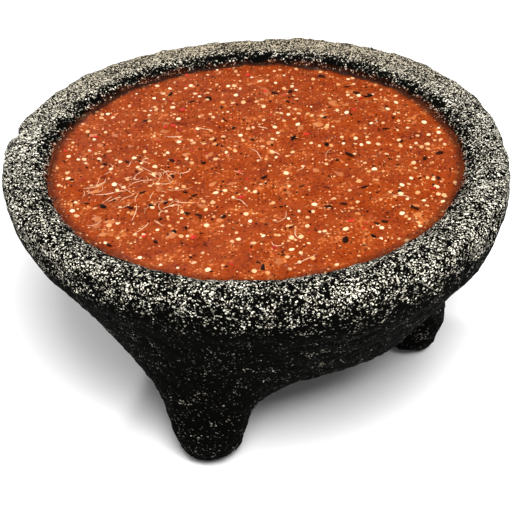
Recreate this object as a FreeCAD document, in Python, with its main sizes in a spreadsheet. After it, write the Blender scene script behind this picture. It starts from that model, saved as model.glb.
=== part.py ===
"""A molcajete: a basalt mortar bowl on three carved legs, filled with a roasted tomatillo salsa.

Units are millimetres. +Z is up, the origin is on the bowl's axis at the level of the ground, and the
front of the bowl faces -Y. The mortar is one stone: bowl and legs are carved from the same block.
The salsa fills its dish, and the seeds, skins and shreds that show in it lie on its surface.
"""

import FreeCAD
import Part

import math
import os
import random

import Sketcher
from FreeCAD import Placement, Rotation, Vector

SIZES = {
    # stone, overall
    "rim_radius": 102.0,  # widest point of the bowl
    "overall_height": 105.0,  # ground to the top of the rim
    "rim_width": 16.0,  # from the widest point to where the dish meets the rim's top, before rounding
    "dish_depth": 48.0,  # rim's top to the lowest point of the dish
    "floor_wall": 22.5,  # stone under the lowest point of the dish
    # stone, outer profile
    "wall_height": 12.5,  # upright band under the rim
    "wall_taper": 1.5,  # how far that band draws in towards its lower edge
    "belly_radius": 68.0,  # corner between the slanting belly and the flat underside
    "shoulder_round": 22.0,  # between the upright band and the slanting belly
    "belly_round": 24.0,  # between the slanting belly and the flat underside
    "rim_outer_round": 5.0,
    "rim_inner_round": 9.0,
    # legs, one set of sections for all three
    "leg_spread": 67.0,  # bowl's axis to the middle of a foot
    "foot_width": 25.0,  # along the rim
    "foot_depth": 24.0,  # from the bowl's axis outwards
    "foot_round": 7.5,
    "ankle_height": 17.0,
    "ankle_width": 29.0,
    "ankle_depth": 28.0,
    "ankle_lean": 1.0,  # how far a section's middle stands inside its foot's
    "hip_rise": 2.5,  # underside of the bowl to the section where a leg flares into it
    "hip_width": 42.0,
    "hip_depth": 38.0,
    "hip_lean": 3.0,
    "root_drop": 35.0,  # rim's top to the section that is buried in the bowl's wall
    "root_width": 66.0,
    "root_depth": 40.0,
    "root_lean": 8.0,
    "front_leg_angle": -110.0,  # degrees about +Z, from +X
    "right_leg_angle": 1.0,
    "rear_leg_angle": 128.0,
    # salsa
    "fill_drop": 4.0,  # rim's top to the salsa's surface
    "salsa_gap": 0.3,  # between the salsa and the stone
    # pieces that lie on the salsa
    "cell_area": 62.0,  # salsa surface for each loose piece
    "shore_margin": 5.0,  # loose pieces keep this far from the salsa's edge
    "seed_radius": 1.15,
    "seed_thickness": 0.6,
    "fleck_radius": 1.6,
    "fleck_thickness": 0.35,
    "flake_radius": 1.9,
    "flake_thickness": 0.4,
    "lump_radius": 2.4,
    "lump_height": 1.1,
    "fibre_bend": 2.2,
    "fibre_radius": 0.22,
}

LEGS = ("front_leg", "right_leg", "rear_leg")
CORNER_SHARE = 0.42  # a leg section's corner radius, as a share of its depth

# places and sizes that several pieces share, as expressions of the sheet
UNDERSIDE = "(Sizes.overall_height - Sizes.dish_depth - Sizes.floor_wall)"
MOUTH_RADIUS = "(Sizes.rim_radius - Sizes.rim_width)"
DISH_RADIUS = f"(({MOUTH_RADIUS} ^ 2 + Sizes.dish_depth ^ 2) / (2 * Sizes.dish_depth))"
DISH_CENTRE = f"(Sizes.overall_height - Sizes.dish_depth + {DISH_RADIUS})"
SALSA_TOP = "(Sizes.overall_height - Sizes.fill_drop)"
SALSA_RADIUS = f"({DISH_RADIUS} - Sizes.salsa_gap)"

# how often each kind of loose piece turns up, out of their sum
MIX = {
    "tomatillo_seeds": 62,
    "charred_skin_flecks": 20,
    "red_chile_flakes": 7,
    "pulp_lumps": 8,
    "pulp_fibres": 3,
}
NEAR = 1e-4  # how far apart two equal lengths may come out
GOLDEN_ANGLE = math.pi * (3 - math.sqrt(5))
FLAKE_CORNERS = 7
FLAKE_RAGGED = 0.55  # a flake's nearest corner, as a share of its radius
FLAKE_NARROW = 0.7  # a flake's width over its length
SCATTER_SEED = 5
FAILED_STATES = ("Invalid", "Error")

doc = FreeCAD.newDocument("molcajete")


def make_sheet():
    """The spreadsheet that holds every driving size, one alias to a row."""
    made = doc.addObject("Spreadsheet::Sheet", "Sizes")
    for row, (alias, value) in enumerate(SIZES.items(), start=1):
        made.set(f"A{row}", alias)
        made.set(f"B{row}", str(value))
        made.setAlias(f"B{row}", alias)
    doc.recompute()
    return made


sheet = make_sheet()


def value(expression):
    """What an expression of the sheet's cells comes to."""
    return float(sheet.evalExpression(expression))


def origin_plane(body, role):
    """One of a body's own origin planes."""
    return next(f for f in body.Origin.OriginFeatures if f.Role == role)


def new_sketch(body, name, role):
    """An empty sketch on one of a body's origin planes."""
    sketch = body.newObject("Sketcher::SketchObject", name)
    sketch.AttachmentSupport = (origin_plane(body, role), [""])
    sketch.MapMode = "FlatFace"
    return sketch


def pin_point(sketch, geometry, x, y):
    """Holds a point at two expressions, measured from the sketch's origin."""
    for kind, expression, axis in (("DistanceX", x, -2), ("DistanceY", y, -1)):
        if expression == "0":
            sketch.addConstraint(Sketcher.Constraint("PointOnObject", geometry, 1, axis))
            continue
        made = sketch.addConstraint(
            Sketcher.Constraint(kind, -1, 1, geometry, 1, value(expression))
        )
        sketch.setExpression(f"Constraints[{made}]", expression)


def rounded_outline(sketch, corners):
    """Draws a closed outline. Each corner is (x, y, radius), three expressions; a radius of "0" is sharp."""
    count = len(corners)
    points = [Vector(value(x), value(y), 0) for x, y, _ in corners]
    radii = [value(radius) for _, _, radius in corners]
    reaches = []
    for i in range(count):
        back = (points[i - 1] - points[i]).normalize()
        ahead = (points[(i + 1) % count] - points[i]).normalize()
        half = back.getAngle(ahead) / 2
        reaches.append((back, ahead, half, radii[i] / math.tan(half)))
    lines = []
    for i in range(count):
        j = (i + 1) % count
        start = points[i] + reaches[i][1] * reaches[i][3]
        end = points[j] + reaches[j][0] * reaches[j][3]
        lines.append(sketch.addGeometry(Part.LineSegment(start, end), False))
    for i, (x, y, radius) in enumerate(corners):
        before, after = lines[i - 1], lines[i]
        corner = sketch.addGeometry(Part.Point(points[i]), True)
        pin_point(sketch, corner, x, y)
        if radii[i] == 0:
            sketch.addConstraint(Sketcher.Constraint("Coincident", before, 2, corner, 1))
            sketch.addConstraint(Sketcher.Constraint("Coincident", after, 1, corner, 1))
            continue
        back, ahead, half, reach = reaches[i]
        centre = points[i] + (back + ahead).normalize() * (radii[i] / math.sin(half))
        ends = [points[i] + back * reach - centre, points[i] + ahead * reach - centre]
        left_turn = back.cross(ahead).z < 0
        first, last = ends if left_turn else reversed(ends)
        start_angle, end_angle = (math.atan2(e.y, e.x) for e in (first, last))
        circle = Part.Circle(centre, Vector(0, 0, 1), radii[i])
        arc = sketch.addGeometry(Part.ArcOfCircle(circle, start_angle, end_angle), False)
        near, far = (1, 2) if left_turn else (2, 1)
        sketch.addConstraint(Sketcher.Constraint("Tangent", before, 2, arc, near))
        sketch.addConstraint(Sketcher.Constraint("Tangent", after, 1, arc, far))
        sketch.addConstraint(Sketcher.Constraint("PointOnObject", corner, 1, before))
        sketch.addConstraint(Sketcher.Constraint("PointOnObject", corner, 1, after))
        made = sketch.addConstraint(Sketcher.Constraint("Radius", arc, radii[i]))
        sketch.setExpression(f"Constraints[{made}]", radius)


def bowl_blank(body):
    """The bowl's outside as a solid of revolution, before the dish is cut."""
    sketch = new_sketch(body, "bowl_profile", "XZ_Plane")
    wall_foot = "(Sizes.overall_height - Sizes.wall_height)"
    rounded_outline(
        sketch,
        [
            ("0", UNDERSIDE, "0"),
            ("Sizes.belly_radius", UNDERSIDE, "Sizes.belly_round"),
            ("Sizes.rim_radius - Sizes.wall_taper", wall_foot, "Sizes.shoulder_round"),
            ("Sizes.rim_radius", "Sizes.overall_height", "Sizes.rim_outer_round"),
            ("0", "Sizes.overall_height", "0"),
        ],
    )
    blank = body.newObject("PartDesign::Revolution", "bowl_blank")
    blank.Profile = sketch
    blank.ReferenceAxis = (sketch, ["V_Axis"])
    blank.Angle = 360
    return blank


def leg_section(body, leg, part, height):
    """One level section of a leg: a rounded rectangle, wide along the rim and deep across it."""
    sketch = new_sketch(body, f"{leg}_{part}", "XY_Plane")
    lean = "0" if part == "foot" else f"Sizes.{part}_lean"
    reach = f"(Sizes.leg_spread - {lean})"
    angle = f"Sizes.{leg}_angle"
    sketch.AttachmentOffset = Placement(Vector(), Rotation(Vector(0, 0, 1), 1))
    sketch.setExpression("AttachmentOffset.Base.x", f"{reach} * cos({angle} * 1 deg)")
    sketch.setExpression("AttachmentOffset.Base.y", f"{reach} * sin({angle} * 1 deg)")
    sketch.setExpression("AttachmentOffset.Base.z", height)
    sketch.setExpression("AttachmentOffset.Rotation.Angle", angle)
    out, side = f"Sizes.{part}_depth / 2", f"Sizes.{part}_width / 2"
    corner = f"Sizes.{part}_depth * {CORNER_SHARE}"
    rounded_outline(
        sketch,
        [
            (out, f"-{side}", corner),
            (out, side, corner),
            (f"-{out}", side, corner),
            (f"-{out}", f"-{side}", corner),
        ],
    )
    return sketch


def carved_leg(body, leg):
    """One leg, lofted from its foot on the ground to a root buried in the bowl's wall."""
    heights = {
        "foot": "0",
        "ankle": "Sizes.ankle_height",
        "hip": f"{UNDERSIDE} + Sizes.hip_rise",
        "root": "Sizes.overall_height - Sizes.root_drop",
    }
    sections = [leg_section(body, leg, part, height) for part, height in heights.items()]
    loft = body.newObject("PartDesign::AdditiveLoft", leg)
    loft.Profile = sections[0]
    loft.Sections = sections[1:]
    loft.Ruled = False
    return loft


def circle_edges(feature, radius, height):
    """Names of a feature's full-circle edges about the bowl's axis, of one radius at one height."""
    found = []
    for index, edge in enumerate(feature.Shape.Edges, start=1):
        if edge.Degenerated or not isinstance(edge.Curve, Part.Circle):
            continue
        centre = edge.Curve.Center
        on_axis = math.hypot(centre.x, centre.y) < NEAR
        if on_axis and abs(centre.z - height) < NEAR and abs(edge.Curve.Radius - radius) < NEAR:
            found.append(f"Edge{index}")
    return found


def ground_edges(feature):
    """Names of a feature's edges that lie on the ground, which outline the three feet."""
    return [
        f"Edge{index}"
        for index, edge in enumerate(feature.Shape.Edges, start=1)
        if edge.BoundBox.ZMax < NEAR and edge.BoundBox.ZMin > -NEAR
    ]


def fillet(body, name, base, edges, radius):
    """Rounds some edges of a body's last feature."""
    if not edges:
        raise RuntimeError(f"{name}: there is no edge to round")
    made = body.newObject("PartDesign::Fillet", name)
    made.Base = (base, edges)
    made.Radius = value(radius)
    made.setExpression("Radius", radius)
    return made


def make_stone():
    """The mortar: blank, legs, dish and rounded edges, all one stone."""
    body = doc.addObject("PartDesign::Body", "stone_mortar")
    bowl_blank(body)
    for leg in LEGS:
        carved_leg(body, leg)
    dish = body.newObject("PartDesign::SubtractiveSphere", "dish")
    dish.AttachmentSupport = (origin_plane(body, "XY_Plane"), [""])
    dish.MapMode = "FlatFace"
    dish.setExpression("Radius", DISH_RADIUS)
    dish.setExpression("AttachmentOffset.Base.z", DISH_CENTRE)
    doc.recompute()
    top, mouth = value("Sizes.overall_height"), value(MOUTH_RADIUS)
    lip = fillet(body, "rim_inner_edge", dish, circle_edges(dish, mouth, top), "Sizes.rim_inner_round")
    doc.recompute()
    fillet(body, "foot_edges", lip, ground_edges(lip), "Sizes.foot_round")
    doc.recompute()
    return body


def make_salsa():
    """The sauce: a segment of the dish's sphere, cut level at the fill line."""
    salsa = doc.addObject("Part::Sphere", "salsa")
    salsa.Angle1 = -90
    salsa.setExpression("Radius", SALSA_RADIUS)
    salsa.setExpression("Angle2", f"-asin(({DISH_CENTRE} - {SALSA_TOP}) / {SALSA_RADIUS})")
    salsa.setExpression("Placement.Base.z", DISH_CENTRE)
    doc.recompute()
    return salsa


def disc_with_round_edge(radius, thickness):
    """A flat seed: a disc whose upper edge is rounded."""
    disc = Part.makeCylinder(radius, thickness)
    rim = [e for e in disc.Edges if e.BoundBox.ZMin > thickness - NEAR]
    return disc.makeFillet(thickness / 2, rim)


def ragged_flake(chance, radius, thickness):
    """A thin flake of skin with an uneven straight-sided outline."""
    corners = []
    for i in range(FLAKE_CORNERS):
        turn = 2 * math.pi * i / FLAKE_CORNERS
        reach = radius * chance.uniform(FLAKE_RAGGED, 1.0)
        corners.append(Vector(reach * math.cos(turn), FLAKE_NARROW * reach * math.sin(turn), 0))
    return Part.Face(Part.makePolygon(corners + corners[:1])).extrude(Vector(0, 0, thickness))


def soft_lump(radius, height):
    """A lump of flesh that stands out of the sauce as a low dome."""
    ball = (radius**2 + height**2) / (2 * height)
    dome = Part.makeSphere(ball, Vector(0, 0, height - ball))
    reach = 2 * ball
    keep = Part.makeBox(2 * reach, 2 * reach, reach, Vector(-reach, -reach, 0))
    return dome.common(keep)


def bent_fibre(bend, radius):
    """A thin curved shred lying on its side, swept along half a turn."""
    arc = Part.Arc(Vector(-bend, 0, radius), Vector(0, bend, radius), Vector(bend, 0, radius))
    path = Part.Wire(arc.toShape())
    section = Part.Wire(Part.Circle(Vector(-bend, 0, radius), Vector(0, 1, 0), radius).toShape())
    return path.makePipe(Part.Face(section))


def make_piece(kind, chance):
    """One loose piece at the origin, standing on the plane z = 0."""
    if kind == "tomatillo_seeds":
        return disc_with_round_edge(value("Sizes.seed_radius"), value("Sizes.seed_thickness"))
    if kind == "charred_skin_flecks":
        return ragged_flake(chance, value("Sizes.fleck_radius"), value("Sizes.fleck_thickness"))
    if kind == "red_chile_flakes":
        return ragged_flake(chance, value("Sizes.flake_radius"), value("Sizes.flake_thickness"))
    if kind == "pulp_lumps":
        return soft_lump(value("Sizes.lump_radius"), value("Sizes.lump_height"))
    return bent_fibre(value("Sizes.fibre_bend"), value("Sizes.fibre_radius"))


def scatter_loose_pieces():
    """Lays the loose pieces out on a sunflower spiral over the salsa, one node to each kind."""
    chance = random.Random(SCATTER_SEED)
    drop = value(f"{DISH_CENTRE} - {SALSA_TOP}")
    shore = math.sqrt(value(SALSA_RADIUS) ** 2 - drop**2) - value("Sizes.shore_margin")
    cell = value("Sizes.cell_area")
    count = int(math.pi * shore**2 / cell)
    kinds = chance.choices(list(MIX), weights=list(MIX.values()), k=count)
    groups = {kind: [] for kind in MIX}
    for i, kind in enumerate(kinds):
        reach, turn = shore * math.sqrt((i + 0.5) / count), i * GOLDEN_ANGLE
        spot = Vector(reach * math.cos(turn), reach * math.sin(turn), value(SALSA_TOP))
        spin = Rotation(Vector(0, 0, 1), chance.uniform(0, 360))
        piece = make_piece(kind, chance)
        piece.Placement = Placement(spot, spin).multiply(piece.Placement)
        groups[kind].append(piece)
    return [make_group(kind, pieces) for kind, pieces in groups.items() if pieces]


def make_group(label, pieces):
    """Many separate solids in one node."""
    group = doc.addObject("Part::Feature", label)
    group.Shape = Part.makeCompound(pieces)
    return group


def check(parts):
    """Stops the build if an object of the document failed, or a part has no sound solid."""
    failed = [o.Name for o in doc.Objects if any(s in o.State for s in FAILED_STATES)]
    if failed:
        raise RuntimeError(f"these objects failed: {failed}")
    for made in parts:
        shape = made.Shape
        if shape.isNull() or not shape.isValid() or not shape.Solids:
            raise RuntimeError(f"{made.Label} has no sound solid")
        volumes = [solid.Volume for solid in shape.Solids]
        print(f"{made.Label}: {len(volumes)} solids, {sum(volumes):.1f} mm3, smallest {min(volumes):.3f}")
    if len(parts[0].Shape.Solids) != 1:
        raise RuntimeError("the stone came out in more than one piece")


def main():
    """Builds every part, checks it and writes one STEP file to a part."""
    parts = [make_stone(), make_salsa(), *scatter_loose_pieces()]
    doc.recompute()
    check(parts)
    os.makedirs("parts", exist_ok=True)
    for made in parts:
        made.Shape.exportStep(f"parts/{made.Label}.step")


main()
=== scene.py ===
"""Looks for the molcajete: a carved basalt mortar and the roasted tomatillo salsa that fills it.

Shapes are worked out in millimetres and written to Blender in metres. The stone is a field of distances
on a grid, turned into one mesh, so that its legs flow out of its belly as they do on carved stone.
"""

import math

import bpy
import numpy as np
import openvdb
from mathutils import Matrix, Vector


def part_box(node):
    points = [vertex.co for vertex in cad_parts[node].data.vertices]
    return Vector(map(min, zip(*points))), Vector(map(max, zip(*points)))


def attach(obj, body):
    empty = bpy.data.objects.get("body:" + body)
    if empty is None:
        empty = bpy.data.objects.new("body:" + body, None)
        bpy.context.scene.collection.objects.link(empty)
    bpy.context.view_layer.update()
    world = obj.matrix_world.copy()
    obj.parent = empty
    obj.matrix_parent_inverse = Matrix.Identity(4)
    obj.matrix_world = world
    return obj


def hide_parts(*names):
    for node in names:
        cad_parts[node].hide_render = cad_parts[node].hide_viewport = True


MM = 0.001

# Sizes are in millimetres and angles in degrees. Colours are linear red, green and blue.

# stone: the profile of the bowl
DISH_GAP = 0.3  # between the CAD salsa and the dish
WALL_HEIGHT = 20.0
WALL_TAPER = 1.5
UNDERSIDE = 34.5
BELLY_RADIUS = 65.0
RIM_OUTER_ROUND = 4.5
RIM_INNER_ROUND = 5.0
SHOULDER_ROUND = 3.0
BELLY_ROUND = 10.0
RIM_SPREAD = 1.5  # how far the wall stands outside the CAD rim before its edges are rounded
# swells of the rim: (number around it, along X, along Y)
RIM_WAVES = ((2, 0.5, -0.85), (3, -1.2, 0.55), (4, -1.0, 0.0))
RIM_SHIFT = (0.75, 2.65)  # how far the rim's outside stands off the dish's axis
FOOT_SHIFT = (6.5, -0.5)  # and how far the belly's would at the ground
# stone: the legs, as (height, depth, width, lean towards the axis) from the foot up
LEG_SECTIONS = ((0, 20, 22, 0), (17, 29, 32, 1), (37, 34, 43, 3), (70, 44, 68, 8))
LEG_SPREAD = 67.0
LEG_ANGLES = (-110.0, 1.0, 128.0)
FOOT_ROUND = 9.0
LEG_BLEND = 17.0
# stone: roughness of the carving, as (width of a bump, height)
CARVING = ((28.0, 0.15), (12.0, 0.12), (5.5, 0.12), (2.8, 0.1))
PIT_WIDTH = 3.2
PIT_DEPTH = 0.6
PIT_RANGE = (1.2, 2.4)  # how strong a random bump is where a pit starts, and where it is full depth
# stone: knocks, as (angle, distance from the axis, distance under the rim's top, size)
KNOCKS = (
    (88.5, 104.0, -1.5, 4.5),
    (167.0, 104.0, 2.0, 4.0),
    (-29.0, 104.5, 9.0, 6.0),
    (-96.0, 103.5, 1.0, 4.0),
    (-125.0, 83.0, 102.0, 10.0),
)
STONE_GRID = 1.3
GRID_MARGIN = 3.0  # how far the grid goes past the stone
FIELD_BAND = 4.0  # distances beyond this are not kept

# basalt: its pale grains, where they are dense, and the painted light and shade on them
GRAIN_WIDTHS = (0.6, 0.38)  # grains of two widths
GRAIN_SHARE = 0.58  # how much of the pale share each width takes
GRAIN_EDGE = (-0.02, 0.04)  # softness of a grain's outline
PATCH_WIDTH = 6.0
PATCH_RANGE, PATCH_SHARE = (0.54, 0.74), 0.15  # strong patches have some grains wherever they lie
TOP_LIGHT_HEIGHTS = (84.0, 98.0)  # painted light on the top of the stone: it starts at the first height and is full from the second
TOP_LIGHT_FACING = (-0.5, 0.1)  # and only where the stone faces sideways or up, towards the light
TOP_LIGHT_SHARE, TOP_LIGHT_SLOPE = 0.28, 1.0  # share of grains under that painted light, and its growth a metre to the back, where light from behind falls
TOP_LIGHT_FULL = 0.4  # painted light at which the grains look fully lit
TOP_LIGHT_UNEVEN = (0.25, 0.6)  # how much patches change the share, on shaded and on lit stone
INNER_SHADE_BAND = (8.0, 4.0)  # painted shade on the stone's inner wall past the salsa: none from the first distance out, full from the second in
INNER_SHADE_BACK, INNER_SHADE_FADE = (-70.0, 50.0), (0.1, 0.8)  # from front to back, how much that painted shade hides grains
SHADED_GRAIN_FADE = 0.6  # how far grains are darkened as painted shade where no painted light falls
BACK_LIGHT_SPAN = (20.0, 95.0)  # painted light: a paler veil on the back of the rim's top, where light from behind falls
SMEAR_WANDER = 9.0  # how far the strongest patches push the salsa out over the stone
SMEAR_BAND, SMEAR_SHARE = (2.0, 4.5), 0.8  # without them, how far inside its edge it is thin, and full
SMEAR_DROP = (3.0, 2.0)  # below its surface: nothing smeared from the first down, all from the second up
BASALT_ROUGHNESS, BASALT_SHINE = 0.8, 0.008
GRAIN_DULL, GRAIN_BRIGHT = (0.14, 0.12, 0.08), (1.0, 0.96, 0.82)
# grain colours: in painted shade, under painted light at the back of the rim, and stained by smeared
# salsa; dark colours: plain, under that painted light, and stained
GRAIN_SHADED, GRAIN_BACK_LIT, GRAIN_SMEARED = (0.05, 0.045, 0.035), (0.42, 0.36, 0.26), (0.3, 0.07, 0.015)
DARK, DARK_BACK_LIT, DARK_SMEARED = (0.0012, 0.0012, 0.001), (0.012, 0.0105, 0.008), (0.03, 0.005, 0.001)

# salsa
SALSA_LUMPS = ((34.0, 0.25), (12.0, 0.16), (5.0, 0.08), (2.4, 0.04))  # (width, height)
SALSA_RING = 0.85  # spacing of its rings
SALSA_SPOKES = 440
SALSA_LOW_RINGS = 14
BROAD_MOTTLE, FINE_MOTTLE, FINE_WEIGHT = 9.0, 1.3, 1.2  # widths of its mottling, and the fine one's weight
DEEP_RANGE, LIGHT_RANGE = (0.8, 1.06), (1.2, 1.45)  # mottling that goes from deep to main, main to light
CRUMBS = (  # specks of colour in the sauce: (spacing, share of places left empty, colour)
    (1.6, 0.5, (0.5, 0.17, 0.05)),
    (1.2, 0.55, (0.03, 0.002, 0.001)),
    (1.3, 0.8, (0.75, 0.42, 0.18)),
    (2.6, 0.85, (0.62, 0.36, 0.16)),
)
CRUMB_REACH, CRUMB_EDGE = 0.4, 0.06  # largest crumb and softness of its outline, in shares of spacing
SAUCE_DEEP, SAUCE_MAIN, SAUCE_LIGHT = (0.11, 0.008, 0.001), (0.24, 0.031, 0.002), (0.5, 0.15, 0.035)
# painted shade where the stone's inner wall shades the salsa's edge
SAUCE_EDGE_SHADE = (0.006, 0.003, 0.002)
EDGE_SHADE_BAND = (4.0, 0.2)  # painted shade inside the salsa's edge: where it starts to darken, and where it is darkest
EDGE_SHADE_BACK, EDGE_SHADE_FADE = (-60.0, 60.0), (0.5, 0.95)  # from front to back, how dark that painted shade is
SAUCE_ROUGHNESS, SAUCE_SHINE, SAUCE_LET_IN = 0.1, 0.08, 0.2
SALSA_OVERRUN = 1.4  # how far its surface runs into the stone, so that no gap shows
MAP_SIZE = 180.0  # side of the square that holds the salsa's relief
MAP_CELLS = 512

# what shows in the salsa: how many, and (smallest, largest) radius
SEEDS, SEED_RADIUS, SEED_THICKNESS = 300, (0.65, 1.2), 0.75
FLECKS, FLECK_RADIUS, FLECK_THICKNESS = 150, (0.8, 2.9), 0.35
SPECKS, SPECK_RADIUS, SPECK_THICKNESS = 520, (0.35, 0.8), 0.3
FLAKES, FLAKE_RADIUS, FLAKE_THICKNESS = 40, (0.8, 2.3), 0.35
LUMPS, LUMP_RADIUS = 130, (0.8, 2.4)
FIBRES, FIBRE_RADIUS, FIBRE_LENGTH = 20, (0.12, 0.22), (4.0, 15.0)
TANGLE, TANGLE_MIDDLE, TANGLE_SPAN = 44, (-46.0, -22.0), 24.0  # where most of the fibres lie
BIT_MARGIN, LUMP_MARGIN, FIBRE_MARGIN = 2.5, 5.0, 9.0  # how far they keep from the salsa's edge
# sections from below, as (share of the outline, share of the height), where a seed's start in its middle
SEED_PROFILE = ((0.62, -1.0), (0.93, -0.62), (1.0, 0.0), (0.93, 0.62), (0.62, 1.0), (0.3, 1.08))
SCRAP_PROFILE = ((0.92, 0.0), (1.0, 0.6), (0.8, 1.0))
LUMP_STEPS = 6  # rings of a lump

# looks of the small pieces: two colours that each piece lies between, shine, and light let in
SEED_LOOK = ((0.5, 0.2, 0.05), (0.85, 0.68, 0.42), 0.1, 0.2)
CHAR_LOOK = ((0.001, 0.001, 0.001), (0.03, 0.006, 0.002), 0.02, 0.0)
CHILE_LOOK = ((0.25, 0.008, 0.004), (0.55, 0.025, 0.012), 0.05, 0.0)
PULP_LOOK = ((0.28, 0.06, 0.01), (0.44, 0.15, 0.04), 0.15, 0.2)
FIBRE_LOOK = ((0.42, 0.17, 0.06), (0.7, 0.46, 0.26), 0.5, 0.0)
BIT_ROUGHNESS = 0.35

# the floor and the lights
FLOOR_REACH = 6000.0
FLOOR_COLOUR, FLOOR_ROUGHNESS = (0.9, 0.9, 0.9), 0.9
LIGHTS = (  # (name, place in metres, where it points, side in metres, watts)
    ("overhead", (0.18, -0.78, 1.4), (0, 0, 0.05), 0.8, 43),
    ("glint", (-0.45, 0.9, 1.0), (0, 0, 0.1), 0.1, 7),
)
SKY_STRENGTH = 0.3

# the camera, placed about the middle of the rim's top
CAMERA_DISTANCE = 526.2
CAMERA_ELEVATION = 30.889
CAMERA_LOOK_DOWN = 35.538
CAMERA_YAW = -0.137
CAMERA_ROLL = -2.299
LENS = 91.4
SENSOR = 36.0


# ---------------------------------------------------------------- the frame

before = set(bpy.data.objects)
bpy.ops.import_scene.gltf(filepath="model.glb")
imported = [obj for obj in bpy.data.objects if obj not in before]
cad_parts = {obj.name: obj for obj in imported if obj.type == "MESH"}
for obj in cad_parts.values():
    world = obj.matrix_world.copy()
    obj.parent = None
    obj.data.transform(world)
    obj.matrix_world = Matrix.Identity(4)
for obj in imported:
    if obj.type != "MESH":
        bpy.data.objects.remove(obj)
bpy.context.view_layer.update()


def box_mm(node):
    """Lowest and highest corner of a CAD node, in millimetres."""
    return [np.array(corner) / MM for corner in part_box(node)]


stone_low, stone_high = box_mm("stone_mortar")
salsa_low, salsa_high = box_mm("salsa")
RIM_RADIUS = (stone_high[0] - stone_low[0]) / 2
RIM_TOP = stone_high[2]
SALSA_TOP = salsa_high[2]
SHORE = (salsa_high[0] - salsa_low[0]) / 2
SALSA_DEPTH = SALSA_TOP - salsa_low[2]
SALSA_BALL = (SHORE**2 + SALSA_DEPTH**2) / (2 * SALSA_DEPTH)
DISH_CENTRE = salsa_low[2] + SALSA_BALL


# ---------------------------------------------------------------- numbers into shapes


def bumps(shape, spacing, layers, seed):
    """A smooth random field on a grid. Each layer is (width of a bump, height of a usual one)."""
    noise = np.random.default_rng(seed).standard_normal(shape)
    rates = [np.fft.fftfreq(n, spacing) for n in shape[:-1]] + [np.fft.rfftfreq(shape[-1], spacing)]
    square = sum(rate**2 for rate in np.meshgrid(*rates, indexing="ij", sparse=True))
    gain = np.zeros(square.shape)
    for width, height in layers:
        band = square * width**2 * np.exp(-square * width**2)
        gain += height * band / math.sqrt(np.mean(band**2))
    axes = tuple(range(len(shape)))
    return np.fft.irfftn(np.fft.rfftn(noise) * gain, s=shape, axes=axes).astype(np.float32)


def round_union(a, b, radius):
    """Two fields joined, with a hollow fillet of this radius between them."""
    corner = np.hypot(np.maximum(radius - a, 0), np.maximum(radius - b, 0))
    return np.maximum(radius, np.minimum(a, b)) - corner


def round_overlap(a, b, radius):
    """What two fields share, with the edge between them rounded to this radius."""
    corner = np.hypot(np.maximum(radius + a, 0), np.maximum(radius + b, 0))
    return np.minimum(-radius, np.maximum(a, b)) + corner


def smoothstep(low, high, x):
    """0 below low, 1 above high, and a smooth rise between them."""
    t = np.clip((x - low) / (high - low), 0, 1)
    return t * t * (3 - 2 * t)


def circle(spokes):
    """Points of a unit circle."""
    turns = np.linspace(0, 2 * math.pi, spokes, endpoint=False)
    return np.column_stack([np.cos(turns), np.sin(turns)])


def closed_skin(rings, first, last):
    """Points and faces of a skin through rings of points, closed by a fan to a point at either end."""
    spokes = len(rings[0])
    low, high = spokes * len(rings), spokes * len(rings) + 1
    top = low - spokes
    faces = []
    for i in range(spokes):
        j = (i + 1) % spokes
        faces.append((low, j, i))
        faces.append((high, top + i, top + j))
        for a in range(0, top, spokes):
            faces.append((a + i, a + j, a + spokes + j, a + spokes + i))
    return np.concatenate([*rings, [first, last]]), faces


def bowl_field(reach, z):
    """Distance to the bowl without its dish, from the distance to its axis and the height."""
    wall = reach - RIM_RADIUS - RIM_SPREAD + WALL_TAPER * (RIM_TOP - z) / WALL_HEIGHT
    top = z - RIM_TOP
    run = RIM_RADIUS - WALL_TAPER - BELLY_RADIUS
    rise = RIM_TOP - WALL_HEIGHT - UNDERSIDE
    slope = ((reach - BELLY_RADIUS) * rise - (z - UNDERSIDE) * run) / math.hypot(run, rise)
    side = round_overlap(wall, slope, SHOULDER_ROUND)
    side = round_overlap(side, UNDERSIDE - z, BELLY_ROUND)
    return round_overlap(side, top, RIM_OUTER_ROUND)


def leg_field(x, y, z, angle):
    """Distance to one leg: an upright form whose oval section grows from the foot up."""
    heights, depths, widths, leans = zip(*LEG_SECTIONS)
    depth = np.interp(z, heights, depths) / 2
    width = np.interp(z, heights, widths) / 2
    middle = LEG_SPREAD - np.interp(z, heights, leans)
    turn = math.radians(angle)
    outward = x * math.cos(turn) + y * math.sin(turn) - middle
    across = y * math.cos(turn) - x * math.sin(turn)
    side = (np.hypot(outward / depth, across / width) - 1) * np.minimum(depth, width)
    side = np.maximum(side, z - heights[-1])
    return round_overlap(side, -z, FOOT_ROUND)


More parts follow.
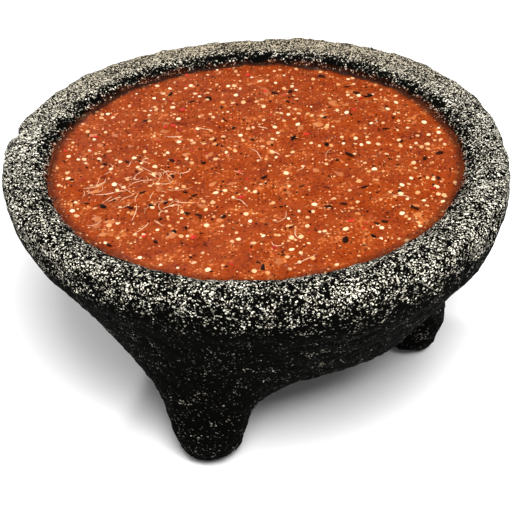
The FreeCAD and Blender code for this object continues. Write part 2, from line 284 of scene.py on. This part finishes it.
def stone_field(x, y, z):
    """Distance to the finished stone on a grid, with the marks of its carving."""
    shape = (x.size, y.size, z.size)
    reach = np.hypot(x, y)
    rise = z / RIM_TOP
    shift_x, shift_y = (rim * rise + foot * (1 - rise) for rim, foot in zip(RIM_SHIFT, FOOT_SHIFT))
    turn = np.arctan2(y, x)
    swell = sum(along * np.cos(n * turn) + across * np.sin(n * turn) for n, along, across in RIM_WAVES)
    field = bowl_field(np.hypot(x - shift_x, y - shift_y) - swell * rise, z)
    for angle in LEG_ANGLES:
        field = round_union(field, leg_field(x, y, z, angle), LEG_BLEND)
    dish = np.sqrt(reach**2 + (z - DISH_CENTRE) ** 2) - SALSA_BALL - DISH_GAP
    field = round_overlap(field, -dish, RIM_INNER_ROUND)
    for angle, radius, drop, size in KNOCKS:
        turn = math.radians(angle)
        away = np.sqrt(
            (x - radius * math.cos(turn)) ** 2
            + (y - radius * math.sin(turn)) ** 2
            + (z - RIM_TOP + drop) ** 2
        )
        field = round_overlap(field, size - away, size / 2)
    field = field - bumps(shape, STONE_GRID, CARVING, seed=3)
    pits = bumps(shape, STONE_GRID, ((PIT_WIDTH, 1.0),), seed=4)
    field = field + PIT_DEPTH * smoothstep(*PIT_RANGE, pits)
    return np.maximum(field, -z)


def new_object(name, points, faces, smooth=True):
    """A mesh object from points in millimetres and faces as lists of point numbers."""
    mesh = bpy.data.meshes.new(name)
    mesh.from_pydata((np.asarray(points) * MM).tolist(), [], faces)
    mesh.polygons.foreach_set("use_smooth", [smooth] * len(mesh.polygons))
    made = bpy.data.objects.new(name, mesh)
    bpy.context.collection.objects.link(made)
    return made


def stand_for(piece, node, paint):
    """Gives a piece its material and lets it stand for a CAD node."""
    piece.data.materials.append(paint)
    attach(piece, "root")
    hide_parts(node)


def make_stone():
    """The mortar as one mesh."""
    span = RIM_RADIUS + GRID_MARGIN
    x = np.arange(-span, span, STONE_GRID)[:, None, None]
    y = np.arange(-span, span, STONE_GRID)[None, :, None]
    z = np.arange(-GRID_MARGIN, RIM_TOP + GRID_MARGIN, STONE_GRID)[None, None, :]
    field = np.clip(stone_field(x, y, z), -FIELD_BAND, FIELD_BAND)
    grid = openvdb.FloatGrid(FIELD_BAND)
    grid.copyFromArray(field.astype(np.float32))
    points, quads = grid.convertToQuads(isovalue=0.0)
    points = points * STONE_GRID + np.array([-span, -span, -GRID_MARGIN])
    points[:, 2] = np.maximum(points[:, 2], 0)
    return new_object("stone_mortar_carved", points, quads.tolist())


# ---------------------------------------------------------------- the salsa's surface

relief_map = bumps((MAP_CELLS, MAP_CELLS), MAP_SIZE / MAP_CELLS, SALSA_LUMPS, seed=11)


def salsa_height(x, y):
    """Height of the salsa's surface above the ground, at places in millimetres."""
    across = (np.asarray(x) / MAP_SIZE + 0.5) * (MAP_CELLS - 1)
    along = (np.asarray(y) / MAP_SIZE + 0.5) * (MAP_CELLS - 1)
    i = np.clip(across.astype(int), 0, MAP_CELLS - 2)
    j = np.clip(along.astype(int), 0, MAP_CELLS - 2)
    u, v = across - i, along - j
    near = relief_map[i, j] * (1 - u) + relief_map[i + 1, j] * u
    far = relief_map[i, j + 1] * (1 - u) + relief_map[i + 1, j + 1] * u
    return SALSA_TOP + near * (1 - v) + far * v


def make_salsa():
    """The sauce: an uneven top that runs into the stone, closed underneath along the dish."""
    ring = circle(SALSA_SPOKES)
    top_radii = np.linspace(SHORE + SALSA_OVERRUN, 0, int(SHORE / SALSA_RING), endpoint=False)
    low_radii = SHORE * np.cos(np.linspace(0, math.pi / 2, SALSA_LOW_RINGS, endpoint=False))
    skin = []
    for radius in low_radii[::-1]:
        floor = DISH_CENTRE - math.sqrt(SALSA_BALL**2 - radius**2)
        skin.append(np.column_stack([ring * radius, np.full(SALSA_SPOKES, floor)]))
    for radius in top_radii:
        skin.append(np.column_stack([ring * radius, salsa_height(*(ring * radius).T)]))
    ends = [0, 0, salsa_low[2]], [0, 0, float(salsa_height(0, 0))]
    return new_object("salsa_sauce", *closed_skin(skin, *ends))


# ---------------------------------------------------------------- what shows in the salsa


class Heap:
    """Many small pieces gathered into one mesh, each with a shade of its own between 0 and 1."""

    def __init__(self, name):
        self.name = name
        self.points = []
        self.faces = []
        self.shades = []
        self.count = 0

    def add(self, points, faces, shade):
        """Adds one small piece: points in millimetres where it lies, and its faces."""
        self.points.append(points)
        self.faces.extend([tuple(int(i) + self.count for i in face) for face in faces])
        self.shades.append(np.full(len(points), shade))
        self.count += len(points)

    def build(self):
        """The heap as one object."""
        made = new_object(self.name, np.concatenate(self.points), self.faces)
        shade = made.data.attributes.new("shade", "FLOAT", "POINT")
        shade.data.foreach_set("value", np.concatenate(self.shades).astype(np.float32))
        return made


def strewn(count, rng, apart, middle=(0.0, 0.0), span=SHORE - BIT_MARGIN):
    """Random places on the salsa within span of a middle, none closer to another than apart."""
    places = []
    while len(places) < count:
        reach = span * math.sqrt(rng.random())
        turn = rng.uniform(0, 2 * math.pi)
        place = np.array(middle) + reach * np.array([math.cos(turn), math.sin(turn)])
        if all(np.hypot(*(place - other)) > apart for other in places):
            places.append(place)
    return places


def laid_down(points, place, rng, sink, tilt):
    """Turns a piece at random, tips it by up to tilt degrees and lays it in the salsa's surface."""
    spin = Matrix.Rotation(rng.uniform(0, 2 * math.pi), 3, "Z")
    lean_axis = Vector((rng.uniform(-1, 1), rng.uniform(-1, 1), 0)).normalized()
    lean = Matrix.Rotation(math.radians(rng.uniform(0, tilt)), 3, lean_axis)
    turned = points @ np.array(lean @ spin).T
    base = float(salsa_height(*place)) - sink
    return turned + np.array([place[0], place[1], base])


def dome(outline, profile, height):
    """Closed skin through flat copies of an outline: (share of its size, share of the height)."""
    rings = []
    for share, rise in profile:
        rings.append(np.column_stack([outline * share, np.full(len(outline), height * rise)]))
    return closed_skin(rings, [0, 0, height * profile[0][1]], [0, 0, height * profile[-1][1]])


def seed(radius, stretch):
    """A round flat seed: a thick lens with a soft edge."""
    spokes = 14
    ring = circle(spokes) * [radius * stretch, radius / stretch]
    return dome(ring, SEED_PROFILE, SEED_THICKNESS / 2)


def ragged_sheet(radius, thickness, rng):
    """A scrap of skin with an uneven outline, slightly curled."""
    spokes = int(rng.integers(6, 11))
    ring = circle(spokes) * radius * rng.uniform(0.45, 1.0, (spokes, 1)) * [1.0, rng.uniform(0.35, 0.75)]
    points, faces = dome(ring, SCRAP_PROFILE, thickness)
    curl = rng.uniform(0.0, 0.12) / radius
    points[:, 2] += curl * points[:, 0] ** 2
    return points, faces


def soft_lump(radius, rng):
    """A lump of flesh: a low dome with a wandering outline."""
    spokes = 18
    turns = np.linspace(0, 2 * math.pi, spokes, endpoint=False)
    wander = 1 + sum(
        rng.uniform(-0.16, 0.16) * np.cos(waves * turns + rng.uniform(0, 6.3)) for waves in (1, 2, 3, 4)
    )
    ring = circle(spokes) * radius * wander[:, None] * [1.0, rng.uniform(0.55, 0.95)]
    height = radius * rng.uniform(0.18, 0.3)
    slopes = np.linspace(0, math.pi / 2, LUMP_STEPS, endpoint=False)
    return dome(ring, [(math.cos(slope), math.sin(slope)) for slope in slopes], height)


def fibre(length, radius, rng):
    """A thin shred that wanders in a flat curve."""
    steps = 18
    heading = np.cumsum(rng.normal(0, 0.12, steps) + rng.normal(0, 0.09))
    stride = length / steps
    x, y = np.cumsum(np.cos(heading)) * stride, np.cumsum(np.sin(heading)) * stride
    centre = np.column_stack([x - x.mean(), y - y.mean()])
    sides = 6
    points, faces = [], []
    for i in range(steps):
        taper = radius * (0.35 + 0.65 * math.sin(math.pi * (i + 0.5) / steps))
        normal = np.array([-math.sin(heading[i]), math.cos(heading[i])])
        for turn in np.linspace(0, 2 * math.pi, sides, endpoint=False):
            spot = centre[i] + normal * taper * math.cos(turn)
            points.append([*spot, taper * math.sin(turn)])
    for i in range(steps - 1):
        for j in range(sides):
            k = (j + 1) % sides
            faces.append((i * sides + j, i * sides + k, (i + 1) * sides + k, (i + 1) * sides + j))
    faces.append(tuple(reversed(range(sides))))
    faces.append(tuple(range((steps - 1) * sides, steps * sides)))
    return np.array(points), faces


def make_seeds():
    """Tomatillo seeds, most of them sunk to about half their thickness."""
    rng = np.random.default_rng(21)
    heap = Heap("tomatillo_seeds_strewn")
    for place in strewn(SEEDS, rng, apart=1.9):
        points, faces = seed(rng.uniform(*SEED_RADIUS), rng.uniform(1.0, 1.14))
        lying = laid_down(points, place, rng, sink=rng.uniform(-0.08, 0.3), tilt=24)
        heap.add(lying, faces, rng.random() ** 1.5)
    return heap.build()


def make_flecks():
    """Charred skin: large flecks and a dusting of specks."""
    rng = np.random.default_rng(22)
    heap = Heap("charred_skin_flecks_strewn")
    flecks = (FLECKS, *FLECK_RADIUS, FLECK_THICKNESS)
    specks = (SPECKS, *SPECK_RADIUS, SPECK_THICKNESS)
    for count, smallest, largest, thickness in (flecks, specks):
        for place in strewn(count, rng, apart=0.8):
            radius = smallest + (largest - smallest) * rng.random() ** 2
            points, faces = ragged_sheet(radius, thickness, rng)
            heap.add(laid_down(points, place, rng, sink=0.04, tilt=9), faces, rng.random())
    return heap.build()


def make_flakes():
    """Flakes of red chile skin."""
    rng = np.random.default_rng(23)
    heap = Heap("red_chile_flakes_strewn")
    for place in strewn(FLAKES, rng, apart=2.0):
        points, faces = ragged_sheet(rng.uniform(*FLAKE_RADIUS), FLAKE_THICKNESS, rng)
        heap.add(laid_down(points, place, rng, sink=0.03, tilt=8), faces, rng.random())
    return heap.build()


def make_lumps():
    """Paler lumps of flesh that stand out of the sauce."""
    rng = np.random.default_rng(24)
    heap = Heap("pulp_lumps_strewn")
    smallest, largest = LUMP_RADIUS
    for place in strewn(LUMPS, rng, apart=2.5, span=SHORE - LUMP_MARGIN):
        radius = smallest + (largest - smallest) * rng.random() ** 2
        points, faces = soft_lump(radius, rng)
        heap.add(laid_down(points, place, rng, sink=0.25, tilt=6), faces, rng.random())
    return heap.build()


def make_fibres():
    """Fine shreds, most of them on the left of the bowl."""
    rng = np.random.default_rng(25)
    heap = Heap("pulp_fibres_strewn")
    places = strewn(FIBRES, rng, apart=3.0, span=SHORE - FIBRE_MARGIN)
    places += strewn(TANGLE, rng, apart=1.5, middle=TANGLE_MIDDLE, span=TANGLE_SPAN)
    for place in places:
        length = rng.uniform(*FIBRE_LENGTH)
        points, faces = fibre(length, rng.uniform(*FIBRE_RADIUS), rng)
        heap.add(laid_down(points, place, rng, sink=-0.12, tilt=2), faces, rng.random())
    return heap.build()


# ---------------------------------------------------------------- materials

MIX_FIRST, MIX_SECOND, MIX_RESULT = 6, 7, 2  # the sockets for colours of a Mix node


def add(tree, kind, inputs=(), **settings):
    """Adds a shader node. Inputs are pairs of a socket's name and a constant or another node's output."""
    made = tree.nodes.new("ShaderNode" + kind)
    for name, setting in settings.items():
        setattr(made, name, setting)
    for name, source in dict(inputs).items():
        if isinstance(source, bpy.types.NodeSocket):
            tree.links.new(source, made.inputs[name])
        else:
            made.inputs[name].default_value = source
    return made


def new_paint(name):
    """A new material, with its tree and its main shader."""
    paint = bpy.data.materials.new(name)
    paint.use_nodes = True
    return paint, paint.node_tree, paint.node_tree.nodes["Principled BSDF"]


def own_place(tree):
    """The piece's own coordinates, in metres."""
    return add(tree, "TexCoord").outputs["Object"]


def noise(tree, where, width, detail=2.0, roughness=0.5):
    """Noise whose features are about this wide, in millimetres."""
    made = add(tree, "TexNoise", {"Vector": where, "Scale": 1 / (width * MM)})
    made.inputs["Detail"].default_value = detail
    made.inputs["Roughness"].default_value = roughness
    return made.outputs["Fac"]


def math_node(tree, operation, a, b=0.0, c=0.0):
    """One sum on the shader's numbers."""
    return add(tree, "Math", {0: a, 1: b, 2: c}, operation=operation).outputs["Value"]


def spread(tree, value, low, high, to_low=0.0, to_high=1.0, smooth=False):
    """Maps low..high to to_low..to_high and holds the ends."""
    made = add(
        tree,
        "MapRange",
        {"Value": value, "From Min": low, "From Max": high, "To Min": to_low, "To Max": to_high},
        interpolation_type="SMOOTHSTEP" if smooth else "LINEAR",
    )
    return made.outputs["Result"]


def blend(tree, factor, first, second):
    """Mixes two colours."""
    made = add(tree, "Mix", {"Factor": factor}, data_type="RGBA")
    for socket, source in ((MIX_FIRST, first), (MIX_SECOND, second)):
        if isinstance(source, bpy.types.NodeSocket):
            tree.links.new(source, made.inputs[socket])
        else:
            made.inputs[socket].default_value = (*source, 1.0)
    return made.outputs[MIX_RESULT]


def cells(tree, where, width):
    """Two random numbers that stay the same over a cell about this wide, and how far its middle is."""
    made = add(tree, "TexVoronoi", {"Vector": where, "Scale": 1 / (width * MM)})
    picks = add(tree, "SeparateColor", {0: made.outputs["Color"]})
    return picks.outputs[0], picks.outputs[1], made.outputs["Distance"]


def distance_from_axis(tree, where):
    """How far a place is from the bowl's axis, in metres."""
    place = add(tree, "SeparateXYZ", {0: where})
    level = add(tree, "CombineXYZ", {"X": place.outputs["X"], "Y": place.outputs["Y"]}).outputs[0]
    return add(tree, "VectorMath", {0: level}, operation="LENGTH").outputs["Value"]


def grains(tree, where, width, share):
    """Pale grains about this wide that take up this share of the stone, and the tone of each."""
    pick, tone, _ = cells(tree, where, width)
    return spread(tree, math_node(tree, "SUBTRACT", share, pick), *GRAIN_EDGE), tone


def band(tree, value, ends, to_low=0.0, to_high=1.0, smooth=False):
    """The same as spread, for a place in metres and two ends in millimetres."""
    low, high = ends
    return spread(tree, value, low * MM, high * MM, to_low, to_high, smooth)


def around_shore(distances, way):
    """Two distances from the salsa's edge, outward or inward, as distances from the axis."""
    return [SHORE + way * distance for distance in distances]


def painted_top_light(tree, place):
    """Painted light: how much light is painted on the stone's top where it faces up, from 0 to 1."""
    facing = add(tree, "SeparateXYZ", {0: add(tree, "NewGeometry").outputs["Normal"]})
    high = band(tree, place.outputs["Z"], TOP_LIGHT_HEIGHTS)
    return math_node(tree, "MULTIPLY", high, spread(tree, facing.outputs["Z"], *TOP_LIGHT_FACING))


def pale_share(tree, place, patch, top_light, inner_wall_shade):
    """Share of the stone that pale grains take up: more under painted light, fewer under painted shade."""
    behind = band(tree, place.outputs["Y"], INNER_SHADE_BACK, *INNER_SHADE_FADE)
    unshaded = math_node(tree, "SUBTRACT", 1.0, math_node(tree, "MULTIPLY", inner_wall_shade, behind))
    top_light_share = math_node(tree, "MULTIPLY_ADD", place.outputs["Y"], TOP_LIGHT_SLOPE, TOP_LIGHT_SHARE)
    share = math_node(tree, "MULTIPLY", math_node(tree, "MULTIPLY", top_light, top_light_share), unshaded)
    uneven = spread(tree, top_light, 0.0, TOP_LIGHT_FULL, *TOP_LIGHT_UNEVEN)
    share = math_node(tree, "MULTIPLY_ADD", math_node(tree, "SUBTRACT", patch, 0.5), uneven, share)
    share = math_node(tree, "MAXIMUM", share, spread(tree, patch, *PATCH_RANGE, 0.0, PATCH_SHARE))
    return math_node(tree, "MULTIPLY", share, GRAIN_SHARE)


def smeared(tree, place, reach, patch):
    """How much salsa is smeared on the stone along the salsa's edge, from 0 to 1."""
    lap = math_node(tree, "MULTIPLY_ADD", patch, -SMEAR_WANDER * MM, reach)
    inside = band(tree, lap, around_shore(SMEAR_BAND, -1), 0.0, SMEAR_SHARE)
    above = band(tree, place.outputs["Z"], [SALSA_TOP - drop for drop in SMEAR_DROP])
    return math_node(tree, "MULTIPLY", inside, above)


def basalt_paint():
    """Black basalt full of pale grains: painted light puts most on the top, painted shade puts fewest on
    the wall, the belly and the inner wall by the salsa.
    """
    paint, tree, shader = new_paint("basalt")
    where = own_place(tree)
    place = add(tree, "SeparateXYZ", {0: where})
    reach = distance_from_axis(tree, where)
    patch = noise(tree, where, PATCH_WIDTH, detail=3.0, roughness=0.6)
    # painted light: pale grains gather where the stone's top faces up, and thin out on the shaded wall and
    # belly
    top_light = painted_top_light(tree, place)
    # painted shade on the inner wall by the salsa, deepest at the back
    inner_wall_shade = band(tree, reach, around_shore(INNER_SHADE_BAND, 1))
    share = pale_share(tree, place, patch, top_light, inner_wall_shade)
    coarse, coarse_tone = grains(tree, where, GRAIN_WIDTHS[0], share)
    fine, fine_tone = grains(tree, where, GRAIN_WIDTHS[1], share)
    pale = math_node(tree, "MAXIMUM", coarse, fine)
    tone = blend(tree, coarse, fine_tone, coarse_tone)
    grain = blend(tree, tone, GRAIN_DULL, GRAIN_BRIGHT)
    # painted shade: grains are darkened where no painted light falls
    grain = blend(tree, spread(tree, top_light, 0.0, TOP_LIGHT_FULL, SHADED_GRAIN_FADE, 0.0), grain, GRAIN_SHADED)
    # painted light: the lit back of the rim's top is paler, in its grains and its dark stone
    clear = math_node(tree, "MULTIPLY", top_light, math_node(tree, "SUBTRACT", 1.0, inner_wall_shade))
    back_light = math_node(tree, "MULTIPLY", clear, band(tree, place.outputs["Y"], BACK_LIGHT_SPAN))
    grain = blend(tree, back_light, grain, GRAIN_BACK_LIT)
    colour = blend(tree, pale, blend(tree, back_light, DARK, DARK_BACK_LIT), grain)
    sauce = blend(tree, pale, DARK_SMEARED, GRAIN_SMEARED)
    colour = blend(tree, smeared(tree, place, reach, patch), colour, sauce)
    tree.links.new(colour, shader.inputs["Base Color"])
    shader.inputs["Roughness"].default_value = BASALT_ROUGHNESS
    shader.inputs["Specular IOR Level"].default_value = BASALT_SHINE
    relief = add(tree, "Bump", {"Height": noise(tree, where, 0.8), "Strength": 0.5, "Distance": 0.5 * MM})
    tree.links.new(relief.outputs["Normal"], shader.inputs["Normal"])
    return paint


def salsa_paint():
    """Orange-red sauce, mottled, moist and a little see-through, with painted shade along its edge,
    darkest at the back.
    """
    paint, tree, shader = new_paint("salsa")
    where = own_place(tree)
    broad = noise(tree, where, BROAD_MOTTLE, detail=4.0, roughness=0.6)
    fine = noise(tree, where, FINE_MOTTLE, detail=4.0, roughness=0.65)
    mixed = math_node(tree, "MULTIPLY_ADD", fine, FINE_WEIGHT, broad)
    colour = blend(tree, spread(tree, mixed, *DEEP_RANGE), SAUCE_DEEP, SAUCE_MAIN)
    colour = blend(tree, spread(tree, mixed, *LIGHT_RANGE), colour, SAUCE_LIGHT)
    for width, empty, tint in CRUMBS:
        pick, _, away = cells(tree, where, width)
        size = spread(tree, pick, empty, 1.0, 0.0, CRUMB_REACH)
        crumb = spread(tree, math_node(tree, "SUBTRACT", size, away), 0.0, CRUMB_EDGE)
        colour = blend(tree, crumb, colour, tint)
    # painted shade along the salsa's edge, darkest at the back
    edge_shade = band(tree, distance_from_axis(tree, where), around_shore(EDGE_SHADE_BAND, -1), smooth=True)
    behind = add(tree, "SeparateXYZ", {0: where}).outputs["Y"]
    edge_shade = math_node(tree, "MULTIPLY", edge_shade, band(tree, behind, EDGE_SHADE_BACK, *EDGE_SHADE_FADE))
    colour = blend(tree, edge_shade, colour, SAUCE_EDGE_SHADE)
    tree.links.new(colour, shader.inputs["Base Color"])
    shader.inputs["Roughness"].default_value = SAUCE_ROUGHNESS
    shader.inputs["Specular IOR Level"].default_value = SAUCE_SHINE
    shader.inputs["Subsurface Weight"].default_value = SAUCE_LET_IN
    shader.inputs["Subsurface Radius"].default_value = (1.0, 0.3, 0.12)
    shader.inputs["Subsurface Scale"].default_value = 1.5 * MM
    height = math_node(tree, "MULTIPLY_ADD", broad, 1.5, fine)
    relief = add(tree, "Bump", {"Height": height, "Strength": 0.8, "Distance": 0.8 * MM})
    tree.links.new(relief.outputs["Normal"], shader.inputs["Normal"])
    return paint


def bit_paint(name, first, second, shine, let_in):
    """A material for the small pieces: each piece lies between two colours by its own shade."""
    paint, tree, shader = new_paint(name)
    shade = add(tree, "Attribute", attribute_name="shade").outputs["Fac"]
    mottle = noise(tree, own_place(tree), 0.6)
    mixed = math_node(tree, "MULTIPLY_ADD", mottle, 0.6, shade)
    colour = blend(tree, spread(tree, mixed, 0.2, 1.4), first, second)
    tree.links.new(colour, shader.inputs["Base Color"])
    shader.inputs["Roughness"].default_value = BIT_ROUGHNESS
    shader.inputs["Specular IOR Level"].default_value = shine
    shader.inputs["Subsurface Weight"].default_value = let_in
    shader.inputs["Subsurface Radius"].default_value = (1.0, 0.6, 0.3)
    shader.inputs["Subsurface Scale"].default_value = 0.6 * MM
    relief = add(tree, "Bump", {"Height": mottle, "Strength": 0.3, "Distance": 0.2 * MM})
    tree.links.new(relief.outputs["Normal"], shader.inputs["Normal"])
    return paint


def plain_paint(name, colour, roughness):
    """One flat colour."""
    paint, _, shader = new_paint(name)
    shader.inputs["Base Color"].default_value = (*colour, 1.0)
    shader.inputs["Roughness"].default_value = roughness
    return paint


# ---------------------------------------------------------------- the stage


def make_floor():
    """A pale floor that reaches past the camera's view."""
    reach = FLOOR_REACH
    corners = [(-reach, -reach, 0), (reach, -reach, 0), (reach, reach, 0), (-reach, reach, 0)]
    floor = new_object("floor", corners, [(0, 1, 2, 3)], smooth=False)
    floor.data.materials.append(plain_paint("floor", FLOOR_COLOUR, FLOOR_ROUGHNESS))


def add_light(name, place, aim, side, power):
    """A square soft light at a place in metres, turned towards another."""
    lamp = bpy.data.lights.new(name, "AREA")
    lamp.shape = "SQUARE"
    lamp.size = side
    lamp.energy = power
    made = bpy.data.objects.new(name, lamp)
    made.location = place
    made.rotation_euler = (Vector(aim) - Vector(place)).to_track_quat("-Z", "Y").to_euler()
    bpy.context.collection.objects.link(made)


def make_lights():
    """A soft light above and in front, a small one behind for glints, under an even pale sky."""
    for light in LIGHTS:
        add_light(*light)
    world = bpy.data.worlds.new("world")
    world.use_nodes = True
    sky = world.node_tree.nodes["Background"]
    sky.inputs["Color"].default_value = (1, 1, 1, 1)
    sky.inputs["Strength"].default_value = SKY_STRENGTH
    bpy.context.scene.world = world


def make_camera():
    """The camera, looking down on the bowl from the front."""
    rise, look = math.radians(CAMERA_ELEVATION), math.radians(CAMERA_LOOK_DOWN)
    yaw, roll = math.radians(CAMERA_YAW), math.radians(CAMERA_ROLL)
    place = Vector((0, -math.cos(rise), math.sin(rise))) * CAMERA_DISTANCE + Vector((0, 0, RIM_TOP))
    forward = Vector((math.cos(look) * math.sin(yaw), math.cos(look) * math.cos(yaw), -math.sin(look)))
    right = forward.cross(Vector((0, 0, 1))).normalized()
    up = right.cross(forward)
    across = right * math.cos(roll) + up * math.sin(roll)
    upward = up * math.cos(roll) - right * math.sin(roll)
    lens = bpy.data.cameras.new("camera")
    lens.lens = LENS
    lens.sensor_width = SENSOR
    camera = bpy.data.objects.new("camera", lens)
    turn = Matrix((across, upward, -forward)).transposed()
    camera.matrix_world = Matrix.Translation(place * MM) @ turn.to_4x4()
    bpy.context.collection.objects.link(camera)
    bpy.context.scene.camera = camera


# ---------------------------------------------------------------- the scene

stand_for(make_stone(), "stone_mortar", basalt_paint())
stand_for(make_salsa(), "salsa", salsa_paint())
stand_for(make_seeds(), "tomatillo_seeds", bit_paint("seed", *SEED_LOOK))
stand_for(make_flecks(), "charred_skin_flecks", bit_paint("charred_skin", *CHAR_LOOK))
stand_for(make_flakes(), "red_chile_flakes", bit_paint("chile", *CHILE_LOOK))
stand_for(make_lumps(), "pulp_lumps", bit_paint("pulp", *PULP_LOOK))
stand_for(make_fibres(), "pulp_fibres", bit_paint("fibre", *FIBRE_LOOK))

make_floor()
make_lights()
make_camera()
bpy.context.scene.view_settings.view_transform = "Standard"
